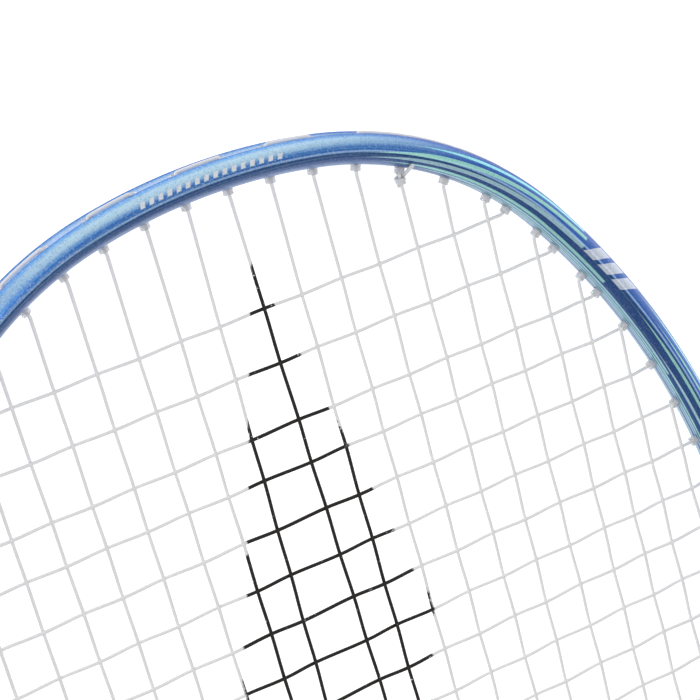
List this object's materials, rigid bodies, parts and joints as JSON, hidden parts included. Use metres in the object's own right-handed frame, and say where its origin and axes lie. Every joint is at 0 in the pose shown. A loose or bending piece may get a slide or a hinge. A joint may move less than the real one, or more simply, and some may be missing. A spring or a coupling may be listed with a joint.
{
  "type": "badminton racket",
  "caption": "Strung badminton racket with a rounded-square carbon head, clear single grommets, thin round shaft and a wrapped octagonal handle.",
  "frame": {"origin": "centre of the butt plate's outer face, on the shaft's axis and in the middle plane of the string bed", "axes": "+X across the head to the player's right, +Y from the butt along the shaft to the top of the head, +Z normal to the string bed, up from the racket lying flat"},
  "size_m": [0.2058, 0.675, 0.029],
  "materials": {
    "painted_carbon": "metallic blue paint on carbon composite, gloss",
    "shaft_carbon": "dark blue gloss paint on carbon composite",
    "joint_metal": "machined, unpainted",
    "plug_rubber": "matt",
    "cone_plastic": "gloss",
    "handle_wood": "sanded",
    "plate_plastic": "satin",
    "cushion": "soft film",
    "grip_pu": "soft perforated synthetic leather",
    "band_tape": "satin",
    "string_nylon": "pale translucent nylon",
    "grommet_nylon": "clear nylon"
  },
  "bodies": {
    "root": {"head_frame": "painted_carbon", "t_joint": "joint_metal", "throat_fairing": "painted_carbon", "shaft": "shaft_carbon", "shaft_end_plug": "plug_rubber", "cone_cap": "cone_plastic", "handle_core": "handle_wood", "butt_plate": "plate_plastic", "grip_underlay": "cushion", "grip_tape": "grip_pu", "finishing_tape": "band_tape", "main_string": "string_nylon", "cross_string": "string_nylon", "main_string_knots": "string_nylon", "cross_string_knots": "string_nylon", "top_grommets": "grommet_nylon", "bottom_grommets": "grommet_nylon", "left_grommets": "grommet_nylon", "right_grommets": "grommet_nylon", "shared_grommets": "grommet_nylon"}
  },
  "joints": []
}
